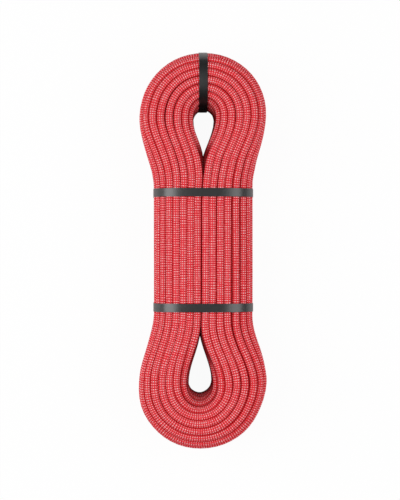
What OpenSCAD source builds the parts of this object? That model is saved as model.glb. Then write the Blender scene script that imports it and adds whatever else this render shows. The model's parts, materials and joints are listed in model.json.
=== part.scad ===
// Dynamic climbing rope, wound at the factory into a flat double-looped hank
// and held by three bands. X is across the hank, Y along it, Z up.
// The hank lies on its back, and the origin is under its centre.

/* [Rope] */
// Diameter of the rope
rope_d = 9.8; // [9:0.1:10.5]
// Thickness of the woven sheath
sheath_wall = 1.1; // [0.9:0.05:1.3]

/* [Winding] */
// Turns in the outer layer
turns = 24; // [20:2:24]
// Steps between turns down the eye side of a run
steps_deep = 8; // [8:1:9]
// Free room between neighbouring turns
turn_gap = 0.8; // [0.8:0.05:1.2]
// Corner radius of a run on its outer side, on the turns' centres
outer_corner_r = 26; // [20:1:30]
// Corner radius of a loop on its outer side
loop_corner_r = 17; // [15:1:20]
// Corner radius of a run beside the hank's middle
inner_corner_r = 2; // [1:0.5:4]
// Corner radius of a loop on the eye side, at the loop's widest place
side_corner_r = 16; // [14:1:18]
// Corner radius of a loop on the eye side, at the loop's far end
end_corner_r = 18; // [16:1:20]
// How far a loop swells past the waist, front and back
loop_swell = 1.2; // [1:0.1:1.2]

/* [Upper loop] */
// Width of the upper eye
upper_eye_w = 26.6; // [24:0.2:34]
// Height of the upper eye's widest place over the hank's middle
upper_eye_y = 168.4; // [160:0.2:180]
// Height where the runs start to part below the upper eye
upper_part_y = 112; // [100:1:116]
// Extra width of the bundle at the loop's sides, over its width at the waist
upper_side_spread = 5.7; // [4.6:0.1:9]
// Extra width of the bundle at the loop's far end
upper_end_spread = 13.3; // [10:0.1:18]

/* [Lower loop] */
// Width of the lower eye
lower_eye_w = 30.4; // [24:0.2:34]
// Distance of the lower eye's widest place from the hank's middle
lower_eye_y = 169.8; // [160:0.2:180]
// Distance where the runs start to part above the lower eye
lower_part_y = 100; // [98:1:116]
// Extra width of the bundle at the loop's sides, over its width at the waist
lower_side_spread = 5; // [4.6:0.1:9]
// Extra width of the bundle at the loop's far end
lower_end_spread = 10.8; // [8:0.1:18]

/* [Bands] */
// Distance of each waist band from the hank's middle
band_y = 75.7; // [70:0.1:80]
// Width of the waist bands
band_w = 10.9; // [8:0.1:14]
// Width of the band round the upper loop
loop_band_w = 12; // [8:0.1:14]
// Thickness of the bands
band_t = 0.5; // [0.3:0.05:0.6]
// Length of the welded lap of each band
lap_l = 60; // [30:1:60]
// Room between a band and the rope
band_gap = 0.3; // [0.2:0.05:0.4]

/* [Rope ends] */
// Turns between the hank's middle and the gap where both ends lie
end_steps = 2; // [2:1:3]
// Distance from the hank's middle at which the wound rope ends
winding_end_y = 50; // [44:1:56]
// Length of each opened end, from the wound rope to its fused tip
end_l = 34; // [28:1:38]
// Length of the marker sleeve
marker_l = 24; // [16:1:26]
// Wall of the marker sleeve
marker_wall = 0.35; // [0.2:0.05:0.4]
// Length of the fused tip
tip_l = 4; // [3:0.5:6]
// Strands of the core, round its two middle ones
outer_strands = 8; // [6:1:9]

/* [Hidden] */
$fn = 64;

rope_red = [0.86, 0.22, 0.27];
core_red = [0.62, 0.08, 0.12];
band_grey = [0.2, 0.21, 0.22];
strand_white = [0.93, 0.92, 0.88];
marker_black = [0.12, 0.12, 0.13];

rope_r = rope_d / 2;
pitch = rope_d + turn_gap;
quarter_loss = 2 - PI / 2;          // how much an arc shortens a square corner

// The bundle's section at the waist, on the turns' centres: the steps down the
// eye side fix its depth, and the other turns its width.
waist_depth = steps_deep * pitch + quarter_loss * inner_corner_r;
waist_w = ((turns - steps_deep) * pitch - waist_depth
    + quarter_loss * (inner_corner_r + 2 * outer_corner_r)) / 2;
waist_x = pitch / 2;                // the innermost run beside the middle

band_lap_z = band_t;
rope_bottom_z = band_lap_z + band_t + band_gap;
middle_z = rope_bottom_z + rope_r + waist_depth / 2;
straight_y = band_y + band_w / 2 + 1.5;

// A loop's sizes in one list, so that both loops share the functions below:
// eye radius, eye height, parting height, side spread, end spread, and
// whether a band holds its far end.
upper_loop = [upper_eye_w / 2 + rope_r, upper_eye_y, upper_part_y,
    upper_side_spread, upper_end_spread, true];
lower_loop = [lower_eye_w / 2 + rope_r, lower_eye_y, lower_part_y,
    lower_side_spread, lower_end_spread, false];

function mix(a, b, k) = a + (b - a) * k;
function smooth(k) = k <= 0 ? 0 : k >= 1 ? 1 : k * k * (3 - 2 * k);

// The turns pass the same stations in either half of the hank: the waist, the
// end of the straight run, the flare, seven round the arc, and back again.
arc_step = 30;
first_arc = 3;
last_arc = 9;
half_stations = 12;
flare_y = 125;
function is_arc(i) = i >= first_arc && i <= last_arc;
function arc_angle(i) = (i - first_arc) * arc_step;
function mirrored(i) = i > last_arc ? half_stations - i : i;

// Innermost and outermost centre line of the bundle at a station, with the
// run on the right side and the loop at the top
function run_point(i, x, side_r, eye_y, part_y) =
    i == 0 ? [x, 0]
    : i == 1 ? [x, straight_y]
    : [mix(x, side_r, smooth((flare_y - part_y) / (eye_y - part_y))), flare_y];
function line_point(i, x, side_r, end_r, eye_y, part_y) =
    is_arc(i) ? [side_r * cos(arc_angle(i)), eye_y + end_r * sin(arc_angle(i))]
    : i > last_arc ? let (p = run_point(mirrored(i), x, side_r, eye_y, part_y)) [-p.x, p.y]
    : run_point(i, x, side_r, eye_y, part_y);
function inner_point(i, loop) =
    line_point(i, waist_x, loop[0], loop[0], loop[1], loop[2]);
function outer_side_r(loop) = loop[0] + waist_w + loop[3];
function outer_end_r(loop) = loop[0] + waist_w + loop[4];
function outer_point(i, loop) =
    line_point(i, waist_x + waist_w, outer_side_r(loop), outer_end_r(loop), loop[1], straight_y);

// The section's corners and depth at a station
function loop_share(i) = is_arc(i) ? 1 : mirrored(i) == 2 ? 0.5 : 0;
function eye_corner_r(i) =
    is_arc(i) ? mix(side_corner_r, end_corner_r, sin(arc_angle(i)))
    : mix(inner_corner_r, side_corner_r, loop_share(i));
function far_corner_r(i) = mix(outer_corner_r, loop_corner_r, loop_share(i));
function swell(i, loop) =
    loop_swell * loop_share(i) * (loop[5] && is_arc(i) ? pow(cos(arc_angle(i)), 2) : 1);
function depth(i, loop) = waist_depth + 2 * swell(i, loop);

// A walk round the rounded section from the middle of its outer side to the
// middle of its eye side, q mm long: across, up, and the outward direction.
function front_walk(q, w, d, ri, ro) =
    let (side = d / 2 - ro, corner = ro * PI / 2, face = w - ro - ri, eye = ri * PI / 2)
    q < side ? [w, q, 0]
    : q < side + corner ? let (a = (q - side) / ro * 180 / PI)
        [w - ro + ro * cos(a), side + ro * sin(a), a]
    : q < side + corner + face ? [w - ro - (q - side - corner), d / 2, 90]
    : q < side + corner + face + eye
        ? let (a = 90 + (q - side - corner - face) / ri * 180 / PI)
            [ri + ri * cos(a), d / 2 - ri + ri * sin(a), a]
    : [0, d / 2 - ri - (q - side - corner - face - eye), 180];
function walk(q, w, d, ri, ro) =
    q >= 0 ? front_walk(q, w, d, ri, ro)
    : let (p = front_walk(-q, w, d, ri, ro)) [p[0], -p[1], -p[2]];
function half_round(w, d, ri, ro) = d + w - quarter_loss * (ro + ri);

// Places are counted round the section in steps, from the place of the ends
// on the back, past the outer side, the front and the eye side.
outer_middle = (turns - steps_deep) / 2 - end_steps;
function wrapped(s) = s > outer_middle + turns / 2 ? s - turns : s;

// One station of one turn: where the rope's centre is and which way is out
function half_point(i, s, loop) =
    let (
        inner = inner_point(i, loop),
        outer = outer_point(i, loop),
        w = norm(outer - inner),
        across = (outer - inner) / w,
        ri = eye_corner_r(i),
        ro = far_corner_r(i),
        d = depth(i, loop),
        step = half_round(w, d, ri, ro) / (turns / 2),
        place = walk((wrapped(s) - outer_middle) * step, w, d, ri, ro),
        flat = inner + across * place[0],
        out = across * cos(place[2])
    )
    [[flat.x, flat.y, middle_z + place[1]], [out.x, out.y, sin(place[2])]];
function turned(p) = [[-p[0].x, -p[0].y, p[0].z], [-p[1].x, -p[1].y, p[1].z]];

// The step to the next place is taken round the lower loop, at a steady rate:
// the flares are twice as long as the stretches between the arc's stations.
shift_rate = 1 / (last_arc - first_arc + 4);
function shift(i) =
    i < first_arc ? 0 : i > last_arc ? 1 : (i - first_arc + 2) * shift_rate;
function turn_point(turn, i) =
    i < half_stations ? half_point(i, turn, upper_loop)
    : turned(half_point(i - half_stations, turn + shift(i - half_stations), lower_loop));

stations = 2 * half_stations;
end_place = half_point(0, 0, upper_loop);
end_x = end_place[0].x;
end_z = end_place[0].z;
winding = concat(
    [[[end_x, winding_end_y, end_z], end_place[1]]],
    [for (k = [1 : turns * stations - 1]) turn_point(floor(k / stations), k % stations)],
    [[[end_x, -winding_end_y, end_z], end_place[1]]]
);

// Nearest approach of the rope's centre line to itself, between its rings and
// the stretches of the other turns
function to_stretch(p, a, b) =
    let (ab = b - a, k = min(1, max(0, (p - a) * ab / (ab * ab)))) norm(a + ab * k - p);
function least_gap(line) =
    min([for (i = [0 : len(line) - 1])
        min(concat([1000], [for (j = [0 : len(line) - 2])
            if (j > i + 6 || j < i - 7)
                to_stretch(line[i][0], line[j][0], line[j + 1][0])]))]) - rope_d;

// A six-sided tube along points that each carry their outward direction
sides = 6;
function tangent(line, i) =
    let (
        last = len(line) - 1,
        before = i == 0 ? [0, 0, 0] : line[i][0] - line[i - 1][0],
        after = i == last ? [0, 0, 0] : line[i + 1][0] - line[i][0],
        t = before / max(norm(before), 0.001) + after / max(norm(after), 0.001)
    )
    t / norm(t);
function ring(line, i) =
    let (
        t = tangent(line, i),
        n0 = line[i][1] - t * (line[i][1] * t),
        n = n0 / norm(n0),
        b = cross(t, n)
    )
    [for (k = [0 : sides - 1])
        line[i][0] + rope_r * (n * cos(k * 360 / sides) + b * sin(k * 360 / sides))];

module tube(line) {
    count = len(line);
    points = [for (i = [0 : count - 1]) each ring(line, i)];
    skin = [for (i = [0 : count - 2], k = [0 : sides - 1])
        let (a = i * sides + k, b = i * sides + (k + 1) % sides)
        each [[a, a + sides, b], [b, a + sides, b + sides]]];
    last = (count - 1) * sides;
    caps = [for (k = [1 : sides - 2])
        each [[0, k, k + 1], [last, last + k + 1, last + k]]];
    polyhedron(points, concat(skin, caps));
}

module rope_winding() {
    echo(str("least gap of the winding to itself: ", least_gap(winding), " mm"));
    color(rope_red) tube(winding);
}

// The turns under the outer layer, as one plain ring that fills the bundle
core_room = rope_r + 0.6;
core_corner = [0 : arc_step : 90];
core_stations = [1 : half_stations - 1];
function core_section(i, loop) =
    let (
        inner = inner_point(i, loop),
        outer = outer_point(i, loop),
        across = (outer - inner) / norm(outer - inner),
        w = norm(outer - inner) - 2 * core_room,
        d = depth(i, loop) - 2 * core_room,
        ri = max(inner_corner_r, eye_corner_r(i) - core_room),
        ro = far_corner_r(i) - core_room,
        corners = [[w - ro, d / 2 - ro, ro, 0], [ri, d / 2 - ri, ri, 90],
            [ri, ri - d / 2, ri, 180], [w - ro, ro - d / 2, ro, 270]]
    )
    [for (c = corners, a = core_corner)
        let (u = core_room + c[0] + c[2] * cos(c[3] + a), v = c[1] + c[2] * sin(c[3] + a))
        [inner.x + across.x * u, inner.y + across.y * u, middle_z + v]];

module inner_turns() {
    rings = concat(
        [for (i = core_stations) core_section(i, upper_loop)],
        [for (i = core_stations) [for (p = core_section(i, lower_loop)) [-p.x, -p.y, p.z]]]
    );
    count = len(rings);
    m = len(rings[0]);
    skin = [for (i = [0 : count - 1], k = [0 : m - 1])
        let (a = i * m + k, b = i * m + (k + 1) % m,
            c = ((i + 1) % count) * m + k, d = ((i + 1) % count) * m + (k + 1) % m)
        each [[a, b, c], [b, d, c]]];
    color(core_red) polyhedron([for (r = rings) each r], skin);
}

// A band is a flat strap bent round the bundle and welded to itself where the
// ends lap on the hank's back.
module rounded(w, h, r) {
    union() {
        square([w - 2 * r, h], center = true);
        square([w, h - 2 * r], center = true);
        for (x = [-1, 1], y = [-1, 1])
            translate([x * (w / 2 - r), y * (h / 2 - r)]) circle(r);
    }
}
module hoop(w, h, r, grow) {
    difference() {
        rounded(w + 2 * grow + 2 * band_t, h + 2 * grow + 2 * band_t, r + grow + band_t);
        rounded(w + 2 * grow, h + 2 * grow, r + grow);
    }
}
module band_profile(w, h, r, lap) {
    hoop(w, h, r, 0);
    intersection() {
        hoop(w, h, r, band_t);
        translate([-lap / 2, -h]) square([lap, h]);
    }
}

band_r = outer_corner_r + rope_r + band_gap;
band_h = waist_depth + rope_d + 2 * band_gap;
waist_band_w = 2 * (waist_x + waist_w + rope_r + band_gap);
module waist_band(y) {
    translate([0, y + band_w / 2, middle_z])
        rotate([90, 0, 0])
            linear_extrude(band_w) band_profile(waist_band_w, band_h, band_r, lap_l);
}
module upper_waist_band() {
    color(band_grey) waist_band(band_y);
}
module lower_waist_band() {
    color(band_grey) waist_band(-band_y);
}

// The loop band is drawn straight across the eye, so the turns' curve there
// holds it off at its edges.
upper_eye_r = upper_eye_w / 2;
loop_band_low = upper_eye_y + sqrt(pow(upper_eye_r, 2) - pow(loop_band_w / 2, 2)) - 2 * band_gap;
loop_band_high = upper_eye_y + outer_end_r(upper_loop) + rope_r + band_gap;
loop_band_r = loop_corner_r + rope_r + band_gap;
loop_lap_l = lap_l / 2;
module upper_loop_band() {
    color(band_grey)
        translate([-loop_band_w / 2, (loop_band_low + loop_band_high) / 2, middle_z])
            rotate([90, 0, 90])
                linear_extrude(loop_band_w)
                    band_profile(loop_band_high - loop_band_low, band_h, loop_band_r, loop_lap_l);
}

// Both rope ends lie in line in the one free place on the back. Each piece is
// drawn along +Y from the end of the wound rope and turned to its side.
core_bore_r = rope_r - sheath_wall;
strand_d = core_bore_r / 2 - 0.05;
strand_ring_r = core_bore_r - strand_d / 2 - 0.05;
marker_fit = 0.05;
tip_edge_r = tip_l / 2;

module at_end(side) {
    translate([end_x, side * winding_end_y, end_z])
        rotate([0, 0, side > 0 ? 180 : 0])
            rotate([-90, 0, 0]) children();
}
module sheath() {
    difference() {
        cylinder(h = end_l, r = rope_r);
        translate([0, 0, -1]) cylinder(h = end_l + 2, r = core_bore_r);
    }
}
module core_strands() {
    for (k = [0 : outer_strands - 1])
        rotate(k * 360 / outer_strands)
            translate([strand_ring_r, 0, 0]) cylinder(h = end_l, d = strand_d);
    for (x = [-1, 1])
        translate([x * (strand_d / 2 + 0.02), 0, 0]) cylinder(h = end_l, d = strand_d);
}
module marker_sleeve() {
    translate([0, 0, end_l - marker_l])
        difference() {
            cylinder(h = marker_l, r = rope_r + marker_fit + marker_wall);
            translate([0, 0, -1]) cylinder(h = marker_l + 2, r = rope_r + marker_fit);
        }
}
module fused_tip() {
    translate([0, 0, end_l])
        rotate_extrude()
            union() {
                square([rope_r - tip_edge_r, tip_l]);
                square([rope_r, tip_l - tip_edge_r]);
                intersection() {
                    translate([rope_r - tip_edge_r, tip_l - tip_edge_r]) circle(tip_edge_r);
                    square([rope_r, tip_l]);
                }
            }
}

module start_sheath() {
    color(rope_red) at_end(1) sheath();
}
module start_core_strands() {
    color(strand_white) at_end(1) core_strands();
}
module start_marker_sleeve() {
    color(marker_black) at_end(1) marker_sleeve();
}
module start_fused_tip() {
    color(core_red) at_end(1) fused_tip();
}
module finish_sheath() {
    color(rope_red) at_end(-1) sheath();
}
module finish_core_strands() {
    color(strand_white) at_end(-1) core_strands();
}
module finish_marker_sleeve() {
    color(marker_black) at_end(-1) marker_sleeve();
}
module finish_fused_tip() {
    color(core_red) at_end(-1) fused_tip();
}

rope_winding();
inner_turns();
upper_waist_band();
lower_waist_band();
upper_loop_band();
start_sheath();
start_core_strands();
start_marker_sleeve();
start_fused_tip();
finish_sheath();
finish_core_strands();
finish_marker_sleeve();
finish_fused_tip();
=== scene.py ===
"""Looks of a dynamic climbing rope, wound into a flat hank and held by three bands.

The rope is one mesh tube of its whole length: an outer layer of turns that
shows, and two layers of turns under it. Lengths are in metres, in the frame of
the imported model: X across the hank, Y along it, Z up.
"""
import json
import math

import bpy
import numpy as np
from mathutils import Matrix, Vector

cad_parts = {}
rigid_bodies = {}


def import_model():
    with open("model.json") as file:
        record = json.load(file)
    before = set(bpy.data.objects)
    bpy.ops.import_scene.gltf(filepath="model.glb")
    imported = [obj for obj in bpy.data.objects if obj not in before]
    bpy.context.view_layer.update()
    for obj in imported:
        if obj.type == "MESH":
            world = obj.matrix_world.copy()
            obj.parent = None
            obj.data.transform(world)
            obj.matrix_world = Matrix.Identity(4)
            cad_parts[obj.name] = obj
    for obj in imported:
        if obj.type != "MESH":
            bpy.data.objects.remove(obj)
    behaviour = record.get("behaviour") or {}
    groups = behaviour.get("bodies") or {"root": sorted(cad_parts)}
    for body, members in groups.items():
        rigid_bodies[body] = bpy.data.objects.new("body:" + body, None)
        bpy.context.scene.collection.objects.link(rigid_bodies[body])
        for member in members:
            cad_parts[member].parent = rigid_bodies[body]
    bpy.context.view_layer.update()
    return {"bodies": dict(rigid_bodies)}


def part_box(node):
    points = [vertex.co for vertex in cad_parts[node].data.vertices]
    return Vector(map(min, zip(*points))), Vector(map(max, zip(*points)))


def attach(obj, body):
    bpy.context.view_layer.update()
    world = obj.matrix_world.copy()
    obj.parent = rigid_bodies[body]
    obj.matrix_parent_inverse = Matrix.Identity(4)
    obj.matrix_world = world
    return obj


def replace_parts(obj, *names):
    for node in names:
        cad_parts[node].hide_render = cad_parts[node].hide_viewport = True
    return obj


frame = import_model()
BODY = next(iter(frame["bodies"]))

MM = 0.001

# ---------------------------------------------------------------- camera

PHOTO_W = 400
PHOTO_CENTRE = (200.0, 250.0)
HANK_CENTRE = (202.6, 250.6)        # where the hank's middle is in the photograph
METRES_PER_PIXEL = 1.307 * MM
CAMERA_DISTANCE = 2.4
CAMERA_SIDE = -60 * MM              # it stands a little to the left of what it looks at
SENSOR = 36.0


def add_camera(middle_z):
    data = bpy.data.cameras.new("camera")
    data.sensor_fit = "HORIZONTAL"
    data.sensor_width = SENSOR
    data.lens = SENSOR * CAMERA_DISTANCE / (PHOTO_W * METRES_PER_PIXEL)
    data.clip_end = 20
    camera = bpy.data.objects.new("camera", data)
    bpy.context.scene.view_settings.view_transform = "Standard"
    camera.location = (
        (PHOTO_CENTRE[0] - HANK_CENTRE[0]) * METRES_PER_PIXEL + CAMERA_SIDE,
        (HANK_CENTRE[1] - PHOTO_CENTRE[1]) * METRES_PER_PIXEL,
        middle_z + CAMERA_DISTANCE,
    )
    camera.rotation_euler.y = math.atan2(CAMERA_SIDE, CAMERA_DISTANCE)
    bpy.context.scene.collection.objects.link(camera)
    bpy.context.scene.camera = camera


# ---------------------------------------------------------------- the rope's sizes, in mm

ROPE_R = 5.0                        # at the tube's corners; it is 9.8 across its flats
END_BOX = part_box("start_sheath")
END_Y = 1000 * END_BOX[0][1]
END_X = 500 * (END_BOX[0][0] + END_BOX[1][0])
BAND_TO_MIDDLE = 0.6                # from the middle of a band's box to the rope's
MIDDLE_Z = 500 * sum(corner[2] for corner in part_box("upper_waist_band")) + BAND_TO_MIDDLE

WAIST_X = 4.45                      # innermost run's centre, from the hank's middle
WAIST_W = 54.5                      # from innermost to outermost centre
DEPTH = 85.66                       # from lowest to highest centre
END_Z = MIDDLE_Z - DEPTH / 2
SWELL = 1.2                         # of the loops, front and back
STRAIGHT_Y = 82.0                   # the runs are straight up to here
WAIST_RI, WAIST_RO = 0.8, 25.5      # section's corner radii, by the middle and outside
LOOP_RI, LOOP_RO = 17.8, 20.5       # in the flare
END_RI, END_RO = 34.8, 26.5         # and at the loop's end
LEAST_CORNER_R = 2
HALF = 12                           # stations in half a turn
RUN_TO, ARC_FROM = 1, 3             # the ones where its run ends and its arc starts
ARC_STEP = np.radians(30)
LAYER_STEP = 9.4                    # from one layer to the next
LAYERS = {1: 26, 2: 21, 3: 13}      # turns in each layer
# The rope's way through the layers: the layer, and how many turns it makes
WAY = [(1, 25), (2, 10), (3, 13), (2, 11), (1, 1)]
EYE_STEPS = 4                       # turns from the eye side's middle to its corner
END_STEPS = 2                       # and from there to the rope's ends
# A turn moves to the next place over these stations of the lower loop
SHIFT_STATIONS, SHIFT_SHARES = (2, 3, 9, 10), (0, 0.2, 0.8, 1)
# and goes to a deeper or a higher layer from these, over so many. Where one turn
# sinks and another rises in the same place, they go through each other half way
SINK_FROM, RISE_FROM, CHANGE_OVER = 2, 6, 4

# Each loop: eye radius, eye height, parting height, outer side radius, outer
# end radius and outer centre height, all on the turns' centres
UPPER = dict(eye_r=18.8, eye_y=169.5, part_y=112, side_r=77.0, end_r=77.6, far_y=174,
             held=True, shift=-0.3)
LOWER = dict(eye_r=20.4, eye_y=170.4, part_y=99, side_r=77.6, end_r=81.4, far_y=170.4,
             held=False, shift=0)
SQUARENESS = 2.05                   # 2 is a round outline

# The hank isn't quite symmetrical: offsets in X of its middle and of its edges
MIDDLE_OFFSET = ([-260, -215, -170, -110, -70, 60, 110, 150, 180, 260],
                 [-3.0, -4.2, -3.6, -3.9, -2.8, -2.6, 0.0, 1.3, 1.9, 1.6])
EDGE_OFFSET = ([-262, -237, -206, -160, -125, -70, 70, 100, 125, 160, 200, 230, 262],
               [0.4, -0.6, -2.4, 0.2, 1.8, 3.1, 2.7, 0.6, -0.7, -0.5, 0.7, 1.2, 0.2])
OFFSET_HALF_WIDTH = 76
STILL_Z, STILL_Y = (15, 60), (60, 110)  # no offset at the back by the rope's ends
# The waist's front face falls off towards its sides: how much, from where to where,
# and how far along the hank
FALL, FALL_X, FALL_Y = 3.8, (16, 61), (95, 155)

# Painted shade in the eyes: a turn is painted dark where it faces an eye as squarely as this (a
# cosine) or more, at the eye's sides and at its end, where it is more open, and so much lighter
# there
EYE_SHADE_SIDE, EYE_SHADE_END, EYE_SHADE_OPEN = 0.945, 0.3, 0.4

SEED = 11
WANDER_SIDE, WANDER_OUT = 0.27, 0.28    # how far a turn strays from its place
WANDER_LENGTHS = (170, 610)             # over which it strays, in mm
WANDER_OUT_MOST = 0.25                  # the furthest out
CALM_LENGTH = 300                       # from the rope's ends, where it strays less

RING_SIDES = 16
OUTER_RINGS = (4, 12, 26, 12, 4)        # in half a turn: run, flare, arc, flare, run
INNER_RINGS = (2, 5, 14, 5, 2)
SECTION_STATIONS = (0, RUN_TO, ARC_FROM, HALF - ARC_FROM, HALF - RUN_TO, HALF)


def smooth(k):
    k = np.clip(k, 0, 1)
    return k * k * (3 - 2 * k)


def power_cos(a, n):
    c = np.cos(a)
    return np.sign(c) * np.abs(c) ** (2 / n)


def mirrored(k):
    """Stations counted from the nearer end of half a turn."""
    return np.where(k > HALF / 2, HALF - k, k)


def half_turn_line(k, x, side_r, end_r, top_y, part_y, squareness):
    """Centre line of half a turn at stations k, from the right run to the left."""
    m = mirrored(k)
    y_flare = STRAIGHT_Y + (top_y - STRAIGHT_Y) * (m - RUN_TO) / (ARC_FROM - RUN_TO)
    y_run = np.where(m < RUN_TO, STRAIGHT_Y * m, y_flare)
    x_run = x + (side_r - x) * smooth((y_run - part_y) / (top_y - part_y))
    angle = ARC_STEP * (m - ARC_FROM)
    arc = m >= ARC_FROM
    px = np.where(arc, side_r * power_cos(angle, squareness), x_run)
    py = np.where(arc, top_y + end_r * power_cos(angle - math.pi / 2, squareness), y_run)
    return np.stack([np.where(k > HALF / 2, -px, px), py], axis=1)


def half_perimeter(w, d, ri, ro):
    return d + w - (2 - math.pi / 2) * (ri + ro)


def walk(q, w, d, ri, ro):
    """Across, up and outward angle, q mm round a rounded section from its outer middle."""
    side, corner = d / 2 - ro, ro * math.pi / 2
    face, eye = w - ro - ri, ri * math.pi / 2
    sign, q = np.where(q < 0, -1, 1), np.abs(q)
    q1 = q - side
    q2 = q1 - corner
    q3 = q2 - face
    q4 = q3 - eye
    a1 = np.clip(q1 / ro, 0, math.pi / 2)
    a2 = math.pi / 2 + np.clip(q3 / ri, 0, math.pi / 2)
    parts = [q1 < 0, q2 < 0, q3 < 0, q4 < 0]
    u = np.select(
        parts, [w + 0 * q, w - ro + ro * np.cos(a1), w - ro - q2, ri + ri * np.cos(a2)], 0)
    v = np.select(
        parts, [q, side + ro * np.sin(a1), d / 2 + 0 * q, d / 2 - ri + ri * np.sin(a2)],
        d / 2 - ri - q4)
    a = np.select(parts, [0 * q, a1, math.pi / 2 + 0 * q, a2], math.pi)
    return u, v * sign, a * sign


def waist_distance(phi):
    """Distance round the waist's section of place phi: a turn lies in each corner
    beside the middle, and the rope's ends lie where the model has them."""
    half = half_perimeter(WAIST_W, DEPTH, WAIST_RI, WAIST_RO)
    corner = half - (DEPTH / 2 - WAIST_RI) - WAIST_RI * math.pi / 4
    to_end = corner - (END_X - WAIST_X - WAIST_RI) - WAIST_RI * math.pi / 4
    slots = LAYERS[1]
    middle = slots / 2 - EYE_STEPS
    knots = [-slots / 2, -middle, -middle + END_STEPS, middle, slots / 2]
    return np.interp(phi * slots, knots, [-half, -corner, -to_end, corner, half]), half


def layer_place(phi, layer, w, d, ri, ro, loop_share):
    inset = LAYER_STEP * (layer - 1)
    w, d = w - 2 * inset, d - 2 * inset
    ri, ro = np.maximum(ri - inset, LEAST_CORNER_R), np.maximum(ro - inset, LEAST_CORNER_R)
    half = half_perimeter(w, d, ri, ro)
    q = 2 * phi * half
    if layer == 1:
        at_waist, waist_half = waist_distance(phi)
        q = at_waist * half / waist_half * (1 - loop_share) + q * loop_share
    u, v, a = walk(q, w, d, ri, ro)
    return u + inset, v, a


def half_turn(k, phi, layer_from, layer_to, mix, loop):
    """The rope's points on half a turn at stations k and places phi, with the
    directions out of the bundle and round it, and the painted shade there in the eye."""
    inner = half_turn_line(
        k, WAIST_X, loop["eye_r"], loop["eye_r"], loop["eye_y"], loop["part_y"], 2)
    outer = half_turn_line(
        k, WAIST_X + WAIST_W, loop["side_r"], loop["end_r"], loop["far_y"], STRAIGHT_Y,
        SQUARENESS)
    across = outer - inner
    w = np.linalg.norm(across, axis=1)
    across /= w[:, None]
    m = mirrored(k)
    loop_share = smooth((m - RUN_TO) / (ARC_FROM - RUN_TO))
    end_share = smooth((m - ARC_FROM) / (HALF / 2 - ARC_FROM))
    d = DEPTH + 2 * SWELL * loop_share * (1 - end_share * loop["held"])
    ri = WAIST_RI + (LOOP_RI - WAIST_RI) * loop_share + (END_RI - LOOP_RI) * end_share
    ro = WAIST_RO + (LOOP_RO - WAIST_RO) * loop_share + (END_RO - LOOP_RO) * end_share
    phi = phi + loop["shift"] / LAYERS[1] * loop_share
    places = [
        layer_place(phi, layer, w, d, ri, ro, loop_share) for layer in (layer_from, layer_to)]
    u, v, a = [p * (1 - mix) + q * mix for p, q in zip(*places)]
    points = np.column_stack([inner + across * u[:, None], MIDDLE_Z + v])
    round_it = np.column_stack([-across * np.sin(a)[:, None], np.cos(a)])
    # painted shade where a turn faces into an eye
    faces_eye = EYE_SHADE_SIDE + (EYE_SHADE_END - EYE_SHADE_SIDE) * end_share
    eye_shade = np.clip((-np.cos(a) - faces_eye) / (1 - faces_eye), 0, 1) ** 2 * (
        1 - EYE_SHADE_OPEN * end_share) * smooth(m - RUN_TO)
    # the two runs in the middle face up, not each other
    up = np.sign(a) * math.pi / 2
    a = np.where(np.abs(a) > math.pi / 2, up * (1 - loop_share) + a * loop_share, a)
    out = np.column_stack([across * np.cos(a)[:, None], np.sin(a)])
    return points, out, round_it, eye_shade


def stations(counts):
    parts = [
        np.linspace(a, b, n, endpoint=False)
        for a, b, n in zip(SECTION_STATIONS, SECTION_STATIONS[1:], counts)]
    return np.concatenate(parts)


def rope_line():
    """The whole rope's ring centres, from its start to its finish, in mm, with the
    direction out of the bundle there and the painted shade there in an eye."""
    draw = np.random.default_rng(SEED)
    phi = -(LAYERS[1] / 2 - EYE_STEPS - END_STEPS) / LAYERS[1]
    turns = [layer for layer, count in WAY for _ in range(count)]
    halves = []
    for n, layer in enumerate(turns):
        after = turns[n + 1] if n + 1 < len(turns) else layer
        for loop, turn_over in ((UPPER, 1), (LOWER, -1)):
            down = loop is LOWER and after != layer
            k = stations(OUTER_RINGS if layer == 1 or (down and after == 1) else INNER_RINGS)
            if n == 0 and loop is UPPER:
                k[0] = END_Y / STRAIGHT_Y
            if n == len(turns) - 1 and loop is LOWER:
                k = np.append(k, HALF - END_Y / STRAIGHT_Y)
            shift = np.interp(k, SHIFT_STATIONS, SHIFT_SHARES) / LAYERS[layer]
            place = np.full_like(k, phi) + shift * (loop is LOWER)
            mix = np.zeros_like(k)
            if down:
                mix = smooth((k - (SINK_FROM if after > layer else RISE_FROM)) / CHANGE_OVER)
            points, out, round_it, eye_shade = half_turn(
                k, place - round(place.mean()), layer, after if down else layer, mix, loop)
            turned = np.array([turn_over, turn_over, 1])
            halves.append((
                points * turned, out * turned, round_it * turned, eye_shade * (layer == 1)))
        phi += 1 / LAYERS[layer]
    points, out, round_it, eye_shade = [np.concatenate(part) for part in zip(*halves)]
    along = distances(points)
    side = sum(wander(along, length, draw) for length in WANDER_LENGTHS) * WANDER_SIDE
    lift = sum(wander(along, length, draw) for length in WANDER_LENGTHS) * WANDER_OUT
    lift = np.minimum(lift, WANDER_OUT_MOST)
    calm = np.minimum(1, np.minimum(along, along[-1] - along) / CALM_LENGTH)[:, None]
    points = points + calm * (round_it * side[:, None] + out * lift[:, None])
    middle, edge = [eased(points[:, 1], *table) for table in (MIDDLE_OFFSET, EDGE_OFFSET)]
    inside = np.clip(1 - (points[:, 0] / OFFSET_HALF_WIDTH) ** 2, 0, 1)
    at_back = 1 - between(points[:, 2], *STILL_Z)
    by_ends = 1 - between(np.abs(points[:, 1]), *STILL_Y)
    across, up = np.abs(points[:, 0]), (points[:, 2] - MIDDLE_Z) / (DEPTH / 2)
    points[:, 2] -= FALL * smooth(up) * between(across, *FALL_X) * (
        1 - between(np.abs(points[:, 1]), *FALL_Y))
    points[:, 0] += (edge + (middle - edge) * inside) * (1 - at_back * by_ends)
    return points, out, eye_shade


def between(value, start, end):
    """A smooth step, from 0 where value is start to 1 where it is end."""
    return smooth((value - start) / (end - start))


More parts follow.
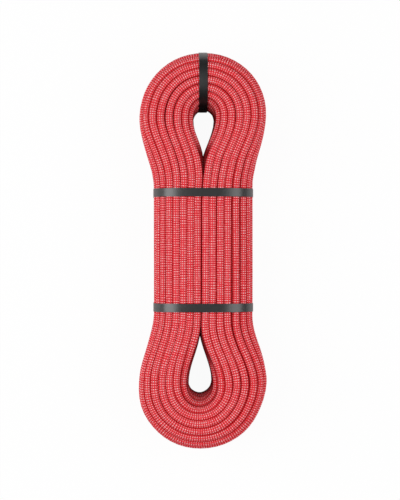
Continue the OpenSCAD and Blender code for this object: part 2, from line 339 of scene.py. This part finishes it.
def eased(at, knots, values):
    """Values between knots, with a smooth step from each to the next."""
    knots = np.asarray(knots, float)
    left = np.clip(np.searchsorted(knots, at) - 1, 0, len(knots) - 2)
    share = smooth((at - knots[left]) / (knots[left + 1] - knots[left]))
    values = np.asarray(values, float)
    return values[left] * (1 - share) + values[left + 1] * share


def distances(points):
    return np.concatenate([[0], np.cumsum(np.linalg.norm(np.diff(points, axis=0), axis=1))])


def wander(along, length, draw):
    """Smooth noise against distance, with values about as large as 1."""
    knots = np.arange(-2, along[-1] / length + 3)
    values = draw.normal(0, 0.75, len(knots))
    at = along / length
    left = np.floor(at).astype(int)
    return np.interp(left + smooth(at - left), knots, values)


# ---------------------------------------------------------------- meshes

def new_object(name, points, faces, material):
    mesh = bpy.data.meshes.new(name)
    mesh.from_pydata((np.asarray(points) * MM).tolist(), [], faces)
    mesh.polygons.foreach_set("use_smooth", [True] * len(mesh.polygons))
    mesh.materials.append(material)
    mesh.update()
    piece = bpy.data.objects.new(name, mesh)
    bpy.context.scene.collection.objects.link(piece)
    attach(piece, BODY)
    return piece


def ring_faces(rings, sides, closed=False):
    """Quads between rings, in order of ring and then of side."""
    count = rings if closed else rings - 1
    r, s = np.meshgrid(np.arange(count), np.arange(sides), indexing="ij")
    after, beside = (r + 1) % rings, (s + 1) % sides
    quads = np.stack([
        r * sides + s, after * sides + s, after * sides + beside, r * sides + beside], axis=-1)
    return quads.reshape(-1, 4).tolist()


def line_frames(line):
    """Directions along, beside and above at each point of a line that lies nearly level."""
    along = np.gradient(line, axis=0)
    along /= np.linalg.norm(along, axis=1)[:, None]
    beside = np.cross(along, [0, 0, 1])
    beside /= np.linalg.norm(beside, axis=1)[:, None]
    return along, beside, np.cross(beside, along)


def tube(name, line, radii, material, sides=RING_SIDES, out=None, eye_shade=None):
    """A round tube of those radii along line, with a UV map in turns and metres. The
    rope comes with the bundle's outward directions: turn 0.5 of its map points that
    way, and the map starts again after each length of weave."""
    _, beside, above = line_frames(line)
    angle = np.arange(sides) * 2 * math.pi / sides
    radii = np.broadcast_to(np.asarray(radii, float), (len(line),))
    ring = (np.cos(angle)[None, :, None] * beside[:, None, :]
            + np.sin(angle)[None, :, None] * above[:, None, :])
    points = (line[:, None, :] + radii[:, None, None] * ring).reshape(-1, 3)
    faces = ring_faces(len(line), sides)
    r, s = np.divmod(np.arange(len(faces)), sides)
    faces.append(list(range(sides)))
    faces.append(list(range(len(points) - 1, len(points) - 1 - sides, -1)))
    piece = new_object(name, points, faces, material)
    at_ring = np.stack([r, r + 1, r + 1, r], axis=-1)
    u = np.stack([s, s, s + 1, s + 1], axis=-1) / sides
    v = (distances(line) * MM)[at_ring]
    if out is not None:
        turned = np.unwrap(np.arctan2((out * above).sum(axis=1), (out * beside).sum(axis=1)))
        u = u - turned[at_ring] / (2 * math.pi) + 0.5
        u -= np.floor(u.mean(axis=1))[:, None]
        v -= WEAVE_LENGTH * np.floor(v.mean(axis=1) / WEAVE_LENGTH)[:, None]
    add_map(piece, "around_along", u, v)
    if out is not None:
        add_bake_map(piece, u, v)
        # the eyes' painted shade, which the rope's material reads
        layer = piece.data.attributes.new("eye_shade", "FLOAT", "POINT")
        layer.data.foreach_set("value", np.repeat(eye_shade, sides))
    return piece


def add_map(piece, name, u, v):
    """A UV map from the coordinates of the quads' corners; the end caps are at 0."""
    uv = np.stack([u, v], axis=-1).reshape(-1, 2)
    spare = len(piece.data.loops) - len(uv)
    layer = piece.data.uv_layers.new(name=name)
    layer.data.foreach_set("uv", np.concatenate([uv, np.zeros((spare, 2))]).ravel())


BAKE_STRIPS = 11                    # side by side, so that pixels come out about square
BAKE_EDGE = (0.036, 0.065)          # beside and past a strip, for the faces on its edge


def add_bake_map(piece, u, v):
    """A second map, named OFBake: one length of weave, cut into strips."""
    strip = WEAVE_LENGTH / BAKE_STRIPS
    column = np.floor(v.mean(axis=1) / strip)[:, None]
    beside, past = BAKE_EDGE
    add_map(piece, "OFBake",
            (column + beside + (1 - 2 * beside) * u) / BAKE_STRIPS,
            past + (1 - 2 * past) * (v / strip - column))


def hull(points):
    """Convex outline of 2-D points, anticlockwise."""
    points = sorted(map(tuple, np.round(points, 4)))
    chains = []
    for ordered in (points, points[::-1]):
        chain = []
        for p in ordered:
            while len(chain) > 1:
                (ax, ay), (bx, by) = chain[-2], chain[-1]
                if (bx - ax) * (p[1] - ay) - (by - ay) * (p[0] - ax) > 0:
                    break
                chain.pop()
            chain.append(p)
        chains.append(chain[:-1])
    return np.array(chains[0] + chains[1])


def crossings(line, axis, at, low_y):
    """Where the rope goes through a plane, past low_y, in the other two coordinates."""
    before, after = line[:-1], line[1:]
    cut = ((before[:, axis] - at) * (after[:, axis] - at) < 0)
    before, after = before[cut], after[cut]
    share = (at - before[:, axis]) / (after[:, axis] - before[:, axis])
    found = before + (after - before) * share[:, None]
    found = found[found[:, 1] > low_y]
    return np.delete(found, axis, axis=1)


OUTLINE_STEP = 1.0
OUTLINE_EASE = 6                    # length over which the band evens out the turns
OUTLINE_REACH = 12                  # from a turn, within which it holds the band off


def eased_outline(outline):
    """The outline with its flats between turns rounded, still clear of every turn."""
    closed = np.vstack([outline, outline[:1]])
    far = distances(closed)
    count = int(far[-1] / OUTLINE_STEP)
    at = np.arange(count) * far[-1] / count
    even = np.column_stack([np.interp(at, far, closed[:, i]) for i in (0, 1)])
    reach = np.arange(-3 * OUTLINE_EASE, 3 * OUTLINE_EASE + 1)
    weights = np.exp(-0.5 * (reach / OUTLINE_EASE) ** 2)
    weights /= weights.sum()
    eased = sum(weight * np.roll(even, shift, axis=0) for weight, shift in zip(weights, reach))
    run = np.roll(eased, -1, axis=0) - np.roll(eased, 1, axis=0)
    normal = np.column_stack([run[:, 1], -run[:, 0]]) / np.linalg.norm(run, axis=1)[:, None]
    short = ((outline[None, :, :] - eased[:, None, :]) * normal[:, None, :]).sum(axis=2)
    near = np.linalg.norm(outline[None, :, :] - eased[:, None, :], axis=2) < OUTLINE_REACH
    push = np.where(near, short, 0).max(axis=1)
    push = sum(weight * np.roll(push, shift) for weight, shift in zip(weights, reach))
    return eased + normal * push[:, None]


BAND_T = 0.5
BAND_GAP = 0.08
BAND_EDGE = 0.14
BAND_CROWN = 0.05
BAND_LIFT = 8                       # length over which the lap climbs on the first end
LAP_RISE = 1.04                     # how high it climbs, in thicknesses
BAND_PITCH = 1.5                    # from one ring of points to the next
BAND_TURN = 1.2                     # distance either way over which it takes its direction
LOW_WEIGHT = 5                      # of being low, against being near the lap's middle
WELD_HALF, WELD_PITCH, WELD_DEPTH = 7, 1.4, 0.09
# Each strap by its node: the axis that it holds the rope across, where on that axis,
# its width, its lap's length and middle, and the lowest Y of the rope in it
STRAPS = {
    "upper_waist_band": dict(axis=1, at=74.9, width=10.9, lap=60, lap_middle=0),
    "lower_waist_band": dict(axis=1, at=-73.6, width=10.9, lap=60, lap_middle=0),
    "upper_loop_band": dict(axis=0, at=0, width=11.2, lap=30, lap_middle=219, low_y=150),
}


def strap(name, line, material, axis, at, width, lap, lap_middle, low_y=-math.inf):
    """A flat band pulled tight round the rope's turns, with its ends lapped and
    welded at the back."""
    centres = np.concatenate([
        crossings(line, axis, at + width * share, low_y) for share in (-0.5, 0, 0.5)])
    angle = np.linspace(0, 2 * math.pi, 60, endpoint=False)
    circle = (ROPE_R + BAND_GAP) * np.column_stack([np.cos(angle), np.sin(angle)])
    outline = eased_outline(hull((centres[:, None, :] + circle[None, :, :]).reshape(-1, 2)))
    closed = np.vstack([outline, outline[:1]])
    far = distances(closed)
    around = far[-1]
    # the lap's middle is the outline's lowest place nearest to lap_middle
    height = np.abs(closed[:-1, 1] - closed[:, 1].min())
    low = np.abs(closed[:-1, 0] - lap_middle) + LOW_WEIGHT * height
    base = np.interp(lap_middle, *lowest_run(closed, far, int(np.argmin(low))))
    start = base - lap / 2
    s = np.arange(0, around + lap + 0.01, BAND_PITCH)
    weld = np.arange(around + lap / 2 - WELD_HALF, around + lap / 2 + WELD_HALF, WELD_PITCH / 6)
    s = np.unique(np.concatenate([s, weld, [around + lap]]))
    on = (start + s) % around
    behind, centre, ahead = [
        np.column_stack([np.interp(place, far, closed[:, i]) for i in (0, 1)])
        for place in ((on - BAND_TURN) % around, on, (on + BAND_TURN) % around)]
    run = ahead - behind
    run /= np.linalg.norm(run, axis=1)[:, None]
    normal = np.column_stack([run[:, 1], -run[:, 0]])
    lift = BAND_T * LAP_RISE * smooth((s - (around - BAND_LIFT)) / BAND_LIFT)
    in_weld = np.abs(s - around - lap / 2) < WELD_HALF
    ribs = WELD_DEPTH * (0.5 - 0.5 * np.cos(2 * math.pi * (s - around - lap / 2) / WELD_PITCH))
    half = width / 2
    profile = [
        (-half, BAND_EDGE, 0), (-half + BAND_EDGE, 0, 0), (half - BAND_EDGE, 0, 0),
        (half, BAND_EDGE, 0), (half, BAND_T - BAND_EDGE, 0), (half - BAND_EDGE, BAND_T, 0),
        (half * 0.6, BAND_T + BAND_CROWN * 0.8, 1), (0, BAND_T + BAND_CROWN, 1),
        (-half * 0.6, BAND_T + BAND_CROWN * 0.8, 1), (-half + BAND_EDGE, BAND_T, 0),
        (-half, BAND_T - BAND_EDGE, 0)]
    rings = []
    for across, up, ribbed in profile:
        height = lift + up - ribbed * in_weld * ribs
        flat = centre + normal * height[:, None]
        rings.append(np.insert(flat, axis, at + across, axis=1))
    points = np.stack(rings, axis=1).reshape(-1, 3)
    sides = len(profile)
    faces = ring_faces(len(s), sides)
    if axis == 1:
        faces = [face[::-1] for face in faces]
    first, last = list(range(sides)), list(range(len(points) - sides, len(points)))
    faces += [first[::-1], last] if axis == 0 else [first, last[::-1]]
    piece = new_object(name, points, faces, material)
    piece.data.set_sharp_from_angle(angle=math.radians(35))
    coordinates = np.column_stack([
        np.repeat(s, sides), np.tile([p[0] for p in profile], len(s))]) * MM
    index = np.empty(len(piece.data.loops), int)
    piece.data.loops.foreach_get("vertex_index", index)
    layer = piece.data.uv_layers.new(name="around_along")
    layer.data.foreach_set("uv", coordinates[index].ravel())
    return piece


def lowest_run(closed, far, at):
    """Abscissas and distances of the outline's lowest stretch, in rising order."""
    low = closed[:, 1] < closed[at, 1] + 0.6
    xs, ds = closed[low, 0], far[low]
    order = np.argsort(xs)
    return xs[order], ds[order]


# ---------------------------------------------------------------- materials

class Shade:
    """A material's nodes, with short calls for those it uses."""

    def __init__(self, name):
        self.material = bpy.data.materials.new(name)
        self.material.use_nodes = True
        self.nodes = self.material.node_tree.nodes
        self.links = self.material.node_tree.links
        self.shader = self.nodes["Principled BSDF"]

    def wire(self, value, socket):
        if isinstance(value, bpy.types.NodeSocket):
            self.links.new(value, socket)
        elif value is not None:
            socket.default_value = value

    def math(self, operation, a, b=None):
        node = self.nodes.new("ShaderNodeMath")
        node.operation = operation
        for value, socket in zip((a, b), node.inputs):
            self.wire(value, socket)
        return node.outputs[0]

    def add(self, a, b):
        return self.math("ADD", a, b)

    def times(self, a, b):
        return self.math("MULTIPLY", a, b)

    def mix(self, share, a, b):
        node = self.nodes.new("ShaderNodeMix")
        node.data_type = "RGBA"
        self.wire(share, node.inputs["Factor"])
        self.wire(a, node.inputs["A"])
        self.wire(b, node.inputs["B"])
        return node.outputs["Result"]

    def lerp(self, share, a, b):
        """a where share is 0 and b where it is 1."""
        return self.add(self.times(self.math("SUBTRACT", 1.0, share), a), self.times(share, b))

    def noise(self, vector, scale, detail=2.0, rough=0.5, one_d=None):
        node = self.nodes.new("ShaderNodeTexNoise")
        node.inputs["Scale"].default_value = scale
        node.inputs["Detail"].default_value = detail
        node.inputs["Roughness"].default_value = rough
        if one_d is not None:
            node.noise_dimensions = "1D"
            self.wire(one_d, node.inputs["W"])
        else:
            self.wire(vector, node.inputs["Vector"])
        return node.outputs["Fac"]

    def white(self, vector):
        node = self.nodes.new("ShaderNodeTexWhiteNoise")
        node.noise_dimensions = "3D"
        self.wire(vector, node.inputs["Vector"])
        return node.outputs["Value"]

    def vector(self, x=0.0, y=0.0, z=0.0):
        node = self.nodes.new("ShaderNodeCombineXYZ")
        for value, socket in zip((x, y, z), node.inputs):
            self.wire(value, socket)
        return node.outputs[0]

    def uv(self):
        node = self.nodes.new("ShaderNodeUVMap")
        node.uv_map = "around_along"
        split = self.nodes.new("ShaderNodeSeparateXYZ")
        self.links.new(node.outputs[0], split.inputs[0])
        return split.outputs[0], split.outputs[1]

    def attribute(self, name):
        node = self.nodes.new("ShaderNodeAttribute")
        node.attribute_name = name
        return node.outputs["Fac"]

    def step(self, value, start, end, most=1.0):
        """A smooth step, from 0 where value is start to most where it is end."""
        node = self.nodes.new("ShaderNodeMapRange")
        node.interpolation_type = "SMOOTHSTEP"
        for name, number in (("From Min", start), ("From Max", end), ("To Max", most)):
            node.inputs[name].default_value = number
        self.wire(value, node.inputs["Value"])
        return node.outputs[0]

    def place(self):
        return self.nodes.new("ShaderNodeTexCoord").outputs["Object"]

    def bump(self, height, distance, strength):
        node = self.nodes.new("ShaderNodeBump")
        node.inputs["Strength"].default_value = strength
        node.inputs["Distance"].default_value = distance
        self.wire(height, node.inputs["Height"])
        self.links.new(node.outputs[0], self.shader.inputs["Normal"])

    def finish(self, **sockets):
        for name, value in sockets.items():
            self.wire(value, self.shader.inputs[name.replace("_", " ")])
        return self.material


YARNS_ROUND = 10                    # pale crossings round the rope
YARN_PITCH = 2.98 * MM              # and from one to the next along it
WEAVE_LENGTH = 1270 * YARN_PITCH    # after which the weave repeats
PALE = (1.0, 0.40, 0.42, 1)
PALE_DULL = (1.0, 0.14, 0.165, 1)
RED = (1.0, 0.024, 0.036, 1)
# painted shade: a darkened red between the yarns' crowns
GAP_SHADE = (0.25, 0.003, 0.006, 1)
GROOVE_SHADE = (0.56, 0.005, 0.010, 1)    # painted shade in the grooves between turns, red as the turns show each other's red
EYE_SHADE = (0.19, 0.007, 0.009, 1)    # painted shade in the eyes
GROOVE_SHADE_FROM, GROOVE_SHADE_TO, GROOVE_SHADE_MOST = -0.78, -0.36, 0.75    # where the grooves' painted shade starts and where it is full, in cosines from straight in, and how much of it there is at most
STRAY_EASE = 0.3                    # metres from the weave's start, where it strays less
DRIFT, UNEVEN = 3.0, 1.6            # how far the weave strays round the rope and along it
YARN_LOW = 0.35                     # a yarn's height where it goes under, of its full one
ROWS, COLUMNS = 0.50, 0.06          # how strongly painted shade lightens the weave's rows and columns and darkens the lines between them
BRAID_DEPTH = 0.45 * MM

BAND_COLOURS = (0.0028, 0.0028, 0.0030, 1), (0.0060, 0.0058, 0.0058, 1)
MARKER_COLOURS = (0.010, 0.010, 0.011, 1), (0.028, 0.027, 0.027, 1)
TIP_COLOURS = (0.20, 0.010, 0.014, 1), (0.52, 0.06, 0.06, 1)
TIP_CHAR = (0.03, 0.012, 0.01, 1)


def rope_material():
    """A plain braid of pale yarns one way and red yarns the other way, with painted shade
    between the yarns, in the grooves between turns and in the eyes.
    """
    s = Shade("braided_sheath")
    around, along = s.uv()
    # it doesn't stray where the weave starts again, so that the lengths join
    to_start = s.math("MINIMUM", along, s.math("SUBTRACT", WEAVE_LENGTH, along))
    stray = s.step(to_start, 0.0, STRAY_EASE)
    drift = s.times(s.add(s.noise(None, 2.3, one_d=along), -0.5), s.times(stray, DRIFT))
    cell_u = s.add(s.times(around, float(YARNS_ROUND)), drift)
    uneven = s.times(s.add(s.noise(None, 22.0, 1.0, one_d=along), -0.5), s.times(stray, UNEVEN))
    cell_v = s.add(s.times(along, 1 / YARN_PITCH), uneven)
    p, q = s.add(cell_u, cell_v), s.math("SUBTRACT", cell_u, cell_v)
    floor_p, floor_q = s.math("FLOOR", p), s.math("FLOOR", q)
    under = s.math("FLOORED_MODULO", s.add(floor_p, floor_q), 2.0)
    fp = s.add(s.math("FRACT", p), -0.5)
    fq = s.add(s.math("FRACT", q), -0.5)
    across = s.lerp(under, fq, fp)
    lengthwise = s.lerp(under, fp, fq)
    crown = s.math("POWER", s.math("COSINE", s.times(across, math.pi)), 0.7)
    bow = s.math("COSINE", s.times(lengthwise, math.pi * 0.92))
    height = s.times(crown, s.add(YARN_LOW, s.times(bow, 1 - YARN_LOW)))
    fibres = s.noise(s.vector(s.times(lengthwise, 1.3), s.times(across, 9.0), floor_p), 2.0)
    each = s.white(s.vector(floor_p, floor_q, 0.0))
    patches = s.noise(s.vector(s.times(around, 2.0), s.times(along, 45.0)), 1.0, 2.0)
    slow = s.noise(None, 1.1, 1.0, one_d=along)
    pale_share = s.add(s.times(patches, 1.0), s.add(s.times(each, 0.75), -0.25))
    pale = s.mix(pale_share, PALE_DULL, PALE)
    yarn = s.mix(under, pale, RED)
    # mostly painted shade of the weave's relief: each yarn is lighter at its crown and darker
    # where it goes under; fibres and slow changes vary it at random
    light = s.math("POWER", height, 1.25)
    light = s.times(light, s.add(1.16, s.times(fibres, 0.4)))
    light = s.times(light, s.add(0.9, s.times(slow, 0.2)))
    rows = s.math("COSINE", s.times(cell_v, 2 * math.pi))
    columns = s.math("COSINE", s.times(cell_u, 2 * math.pi))
    light = s.times(light, s.add(1.0, s.add(s.times(rows, ROWS), s.times(columns, COLUMNS))))
    # the yarn's colour at the crowns, the painted shade colour between them
    colour = s.mix(s.math("MINIMUM", light, 1.0), GAP_SHADE, yarn)
    # painted shade in the grooves between turns, where the rope faces into the bundle
    inward = s.math("COSINE", s.times(around, 2 * math.pi))
    colour = s.mix(s.step(inward, GROOVE_SHADE_FROM, GROOVE_SHADE_TO, GROOVE_SHADE_MOST), colour, GROOVE_SHADE)
    # painted shade in the eyes
    colour = s.mix(s.attribute("eye_shade"), colour, EYE_SHADE)
    s.bump(s.add(height, s.times(fibres, 0.12)), BRAID_DEPTH, 0.8)
    return s.finish(
        Base_Color=colour, Roughness=0.7, Specular_IOR_Level=0.03, Subsurface_Weight=0.2,
        Subsurface_Scale=0.6 * MM, Subsurface_Radius=(1.0, 0.15, 0.12))


def band_material():
    """Semi-gloss plastic with fine streaks along the band."""
    s = Shade("band_plastic")
    along, across = s.uv()
    streaks = s.noise(s.vector(s.times(along, 60.0), s.times(across, 3200.0)), 1.0, 3.0)
    cloud = s.noise(s.place(), 60.0, 3.0)
    grain = s.noise(s.place(), 1500.0, 2.0)
    colour = s.mix(cloud, *BAND_COLOURS)
    rough = s.add(0.27, s.add(s.times(streaks, 0.10), s.times(cloud, 0.05)))
    s.bump(s.add(streaks, s.times(grain, 0.5)), 0.03 * MM, 0.6)
    return s.finish(Base_Color=colour, Roughness=rough, Specular_IOR_Level=1.0, IOR=1.55)


def marker_material():
    """A matte sleeve, shrunk so tight that the braid presses through."""
    s = Shade("marker_sleeve")
    around, along = s.uv()
    pressed = s.math("SINE", s.times(along, 2 * math.pi / YARN_PITCH))
    pressed = s.times(pressed, s.math("SINE", s.times(around, 2 * math.pi * YARNS_ROUND)))
    grain = s.noise(s.place(), 900.0, 3.0)
    colour = s.mix(grain, *MARKER_COLOURS)
    s.bump(s.add(s.times(pressed, 0.5), grain), 0.12 * MM, 0.7)
    return s.finish(Base_Color=colour, Roughness=s.add(0.48, s.times(grain, 0.2)))


def tip_material():
    """Melted polyamide, lumpy and charred in places."""
    s = Shade("fused_nylon")
    lumps = s.noise(s.place(), 420.0, 4.0)
    char = s.noise(s.place(), 160.0, 3.0)
    melted = s.mix(lumps, *TIP_COLOURS)
    colour = s.mix(s.math("POWER", char, 2.2), melted, TIP_CHAR)
    s.bump(lumps, 0.35 * MM, 0.9)
    return s.finish(Base_Color=colour, Roughness=s.add(0.18, s.times(char, 0.3)))


# ---------------------------------------------------------------- rope's ends

END_SIDES = 32
SLEEVE_L, SLEEVE_WALL = 24, 0.35
SLEEVE_RINGS, SLEEVE_FLAT = 15, 2.2     # of its straight part, and where that starts
LIP_L, LIP_RINGS, LIP_WALL = 1.2, 5, 0.35   # of its rounded edges; the wall left there
SLEEVE_ROUGH, TIP_ROUGH = 0.025, 0.12
TIP_L, TIP_OVER = 4, 0.8            # the tip's length, and what of it grips the sheath
TIP_COLLAR = 0.8                    # length over which it is widest
TIP_EDGE, TIP_SWELL = 0.1, 0.2      # over the rope's radius, at its edge and there
TIP_END_R, TIP_BLUNTNESS = 0.5, 0.6


def rope_end(side, name, marker, fused):
    """The shrunk sleeve and the fused tip at the end on that side of Y = 0."""
    lip = smooth(np.linspace(0, 1, LIP_RINGS))
    far = np.concatenate([
        lip * LIP_L, np.linspace(SLEEVE_FLAT, SLEEVE_L - SLEEVE_FLAT, SLEEVE_RINGS),
        SLEEVE_L - lip[::-1] * LIP_L])
    wall = np.concatenate([lip, np.ones(SLEEVE_RINGS), lip[::-1]])
    draw = np.random.default_rng(SEED + side)
    radii = (ROPE_R + SLEEVE_WALL * (LIP_WALL + (1 - LIP_WALL) * wall)
             + draw.normal(0, SLEEVE_ROUGH, len(far)))
    line = np.column_stack([
        np.full(len(far), END_X), side * (END_Y + far), np.full(len(far), END_Z)])
    sleeve = tube(name + "_sleeve", line, radii, marker, sides=END_SIDES)
    angle = np.linspace(0, math.pi / 2, 9)
    far = np.concatenate([
        [-TIP_OVER, -TIP_OVER + TIP_EDGE, TIP_COLLAR / 2],
        TIP_COLLAR + (TIP_L - TIP_COLLAR) * np.sin(angle[1:])])
    radii = np.concatenate([
        [ROPE_R - TIP_EDGE, ROPE_R + TIP_EDGE, ROPE_R + TIP_SWELL],
        ROPE_R * np.cos(angle[1:]) ** TIP_BLUNTNESS])
    radii[-1] = TIP_END_R
    line = np.column_stack([
        np.full(len(far), END_X), side * (END_Y - far), np.full(len(far), END_Z)])
    tip = tube(name + "_tip", line, radii, fused, sides=END_SIDES)
    lumps = draw.normal(0, TIP_ROUGH, (len(far), END_SIDES))
    lumps[-1] = lumps[-1, 0]
    for vertex, lump in zip(tip.data.vertices, lumps.ravel()):
        out = vertex.co.copy()
        out.x -= END_X * MM
        out.z -= END_Z * MM
        out.y = 0
        if out.length:
            vertex.co += out.normalized() * lump * MM
    return sleeve, tip


# ---------------------------------------------------------------- studio

FLOOR_SIZE = 8
FLOOR_COLOUR = (0.8, 0.8, 0.8, 1)
FLOOR_GLOW = 0.95                   # of the floor's white that no shadow reaches
AMBIENT = 0.44
REFLECTED = 0.12                    # what reflections show of it
# A black card on the near side, which only reflections show
CARD = [(-1.1, -1.3, 0.2), (1.1, -1.3, 0.2), (0.9, -1.0, 2.2), (-0.9, -1.0, 2.2)]
# Each softbox: its place, its size along the hank and across it, and its watts
SOFTBOXES = {
    "left_softbox": ((-1.22, 0.1, 1.24), (1.25, 1.9), 21.5),
    "right_softbox": ((1.2, -0.1, 1.3), (1.9, 1.5), 16.2),
}


def add_floor():
    mesh = bpy.data.meshes.new("floor")
    half = FLOOR_SIZE / 2
    mesh.from_pydata(
        [(-half, -half, 0), (half, -half, 0), (half, half, 0), (-half, half, 0)],
        [], [(0, 1, 2, 3)])
    floor = bpy.data.objects.new("floor", mesh)
    bpy.context.scene.collection.objects.link(floor)
    material = bpy.data.materials.new("floor_paper")
    material.use_nodes = True
    nodes, links = material.node_tree.nodes, material.node_tree.links
    paper = nodes["Principled BSDF"]
    paper.inputs["Base Color"].default_value = FLOOR_COLOUR
    paper.inputs["Roughness"].default_value = 0.9
    glow = nodes.new("ShaderNodeEmission")
    rays = nodes.new("ShaderNodeLightPath")
    share = nodes.new("ShaderNodeMath")
    share.operation = "MULTIPLY"
    share.inputs[1].default_value = FLOOR_GLOW
    links.new(rays.outputs["Is Camera Ray"], share.inputs[0])
    both = nodes.new("ShaderNodeMixShader")
    links.new(share.outputs[0], both.inputs[0])
    links.new(paper.outputs[0], both.inputs[1])
    links.new(glow.outputs[0], both.inputs[2])
    links.new(both.outputs[0], nodes["Material Output"].inputs["Surface"])
    mesh.materials.append(material)


def add_world():
    world = bpy.data.worlds.new("studio")
    bpy.context.scene.world = world
    world.use_nodes = True
    nodes, links = world.node_tree.nodes, world.node_tree.links
    background = nodes["Background"]
    background.inputs["Color"].default_value = (1, 1, 1, 1)
    rays = nodes.new("ShaderNodeLightPath")
    lighting, strength = [nodes.new("ShaderNodeMapRange") for _ in range(2)]
    lighting.inputs["To Min"].default_value = AMBIENT
    lighting.inputs["To Max"].default_value = REFLECTED
    strength.inputs["To Max"].default_value = 1.0
    links.new(rays.outputs["Is Glossy Ray"], lighting.inputs["Value"])
    links.new(lighting.outputs[0], strength.inputs["To Min"])
    links.new(rays.outputs["Is Camera Ray"], strength.inputs["Value"])
    links.new(strength.outputs[0], background.inputs["Strength"])


def add_card():
    material = bpy.data.materials.new("card_cloth")
    material.use_nodes = True
    cloth = material.node_tree.nodes["Principled BSDF"]
    cloth.inputs["Base Color"].default_value = (0, 0, 0, 1)
    cloth.inputs["Specular IOR Level"].default_value = 0
    mesh = bpy.data.meshes.new("card")
    mesh.from_pydata(CARD, [], [(0, 1, 2, 3)])
    mesh.materials.append(material)
    card = bpy.data.objects.new("card", mesh)
    bpy.context.scene.collection.objects.link(card)
    for kind in ("camera", "diffuse", "transmission", "volume_scatter", "shadow"):
        setattr(card, "visible_" + kind, False)


def add_softbox(name, place, size, power):
    data = bpy.data.lights.new(name, "AREA")
    data.shape = "RECTANGLE"
    data.size, data.size_y = size
    data.energy = power
    lamp = bpy.data.objects.new(name, data)
    lamp.location = place
    direction = -lamp.location
    lamp.rotation_euler = direction.to_track_quat("-Z", "Y").to_euler()
    bpy.context.scene.collection.objects.link(lamp)


# ---------------------------------------------------------------- the scene

def main():
    add_camera(MIDDLE_Z * MM)
    line, out, eye_shade = rope_line()
    rope = tube("rope", line, ROPE_R, rope_material(), out=out, eye_shade=eye_shade)
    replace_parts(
        rope, "rope_winding", "inner_turns", "start_sheath", "finish_sheath",
        "start_core_strands", "finish_core_strands")
    marker, fused = marker_material(), tip_material()
    fitted = []
    for side, name in ((1, "start"), (-1, "finish")):
        sleeve, tip = rope_end(side, name, marker, fused)
        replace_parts(sleeve, name + "_marker_sleeve")
        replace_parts(tip, name + "_fused_tip")
        fitted += [sleeve, tip]

    band = band_material()
    for node, sizes in STRAPS.items():
        name = node.replace("_band", "_strap")
        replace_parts(strap(name, line, band, **sizes), node)

    add_floor()
    add_world()
    add_card()
    for name, sizes in SOFTBOXES.items():
        add_softbox(name, *sizes)


main()
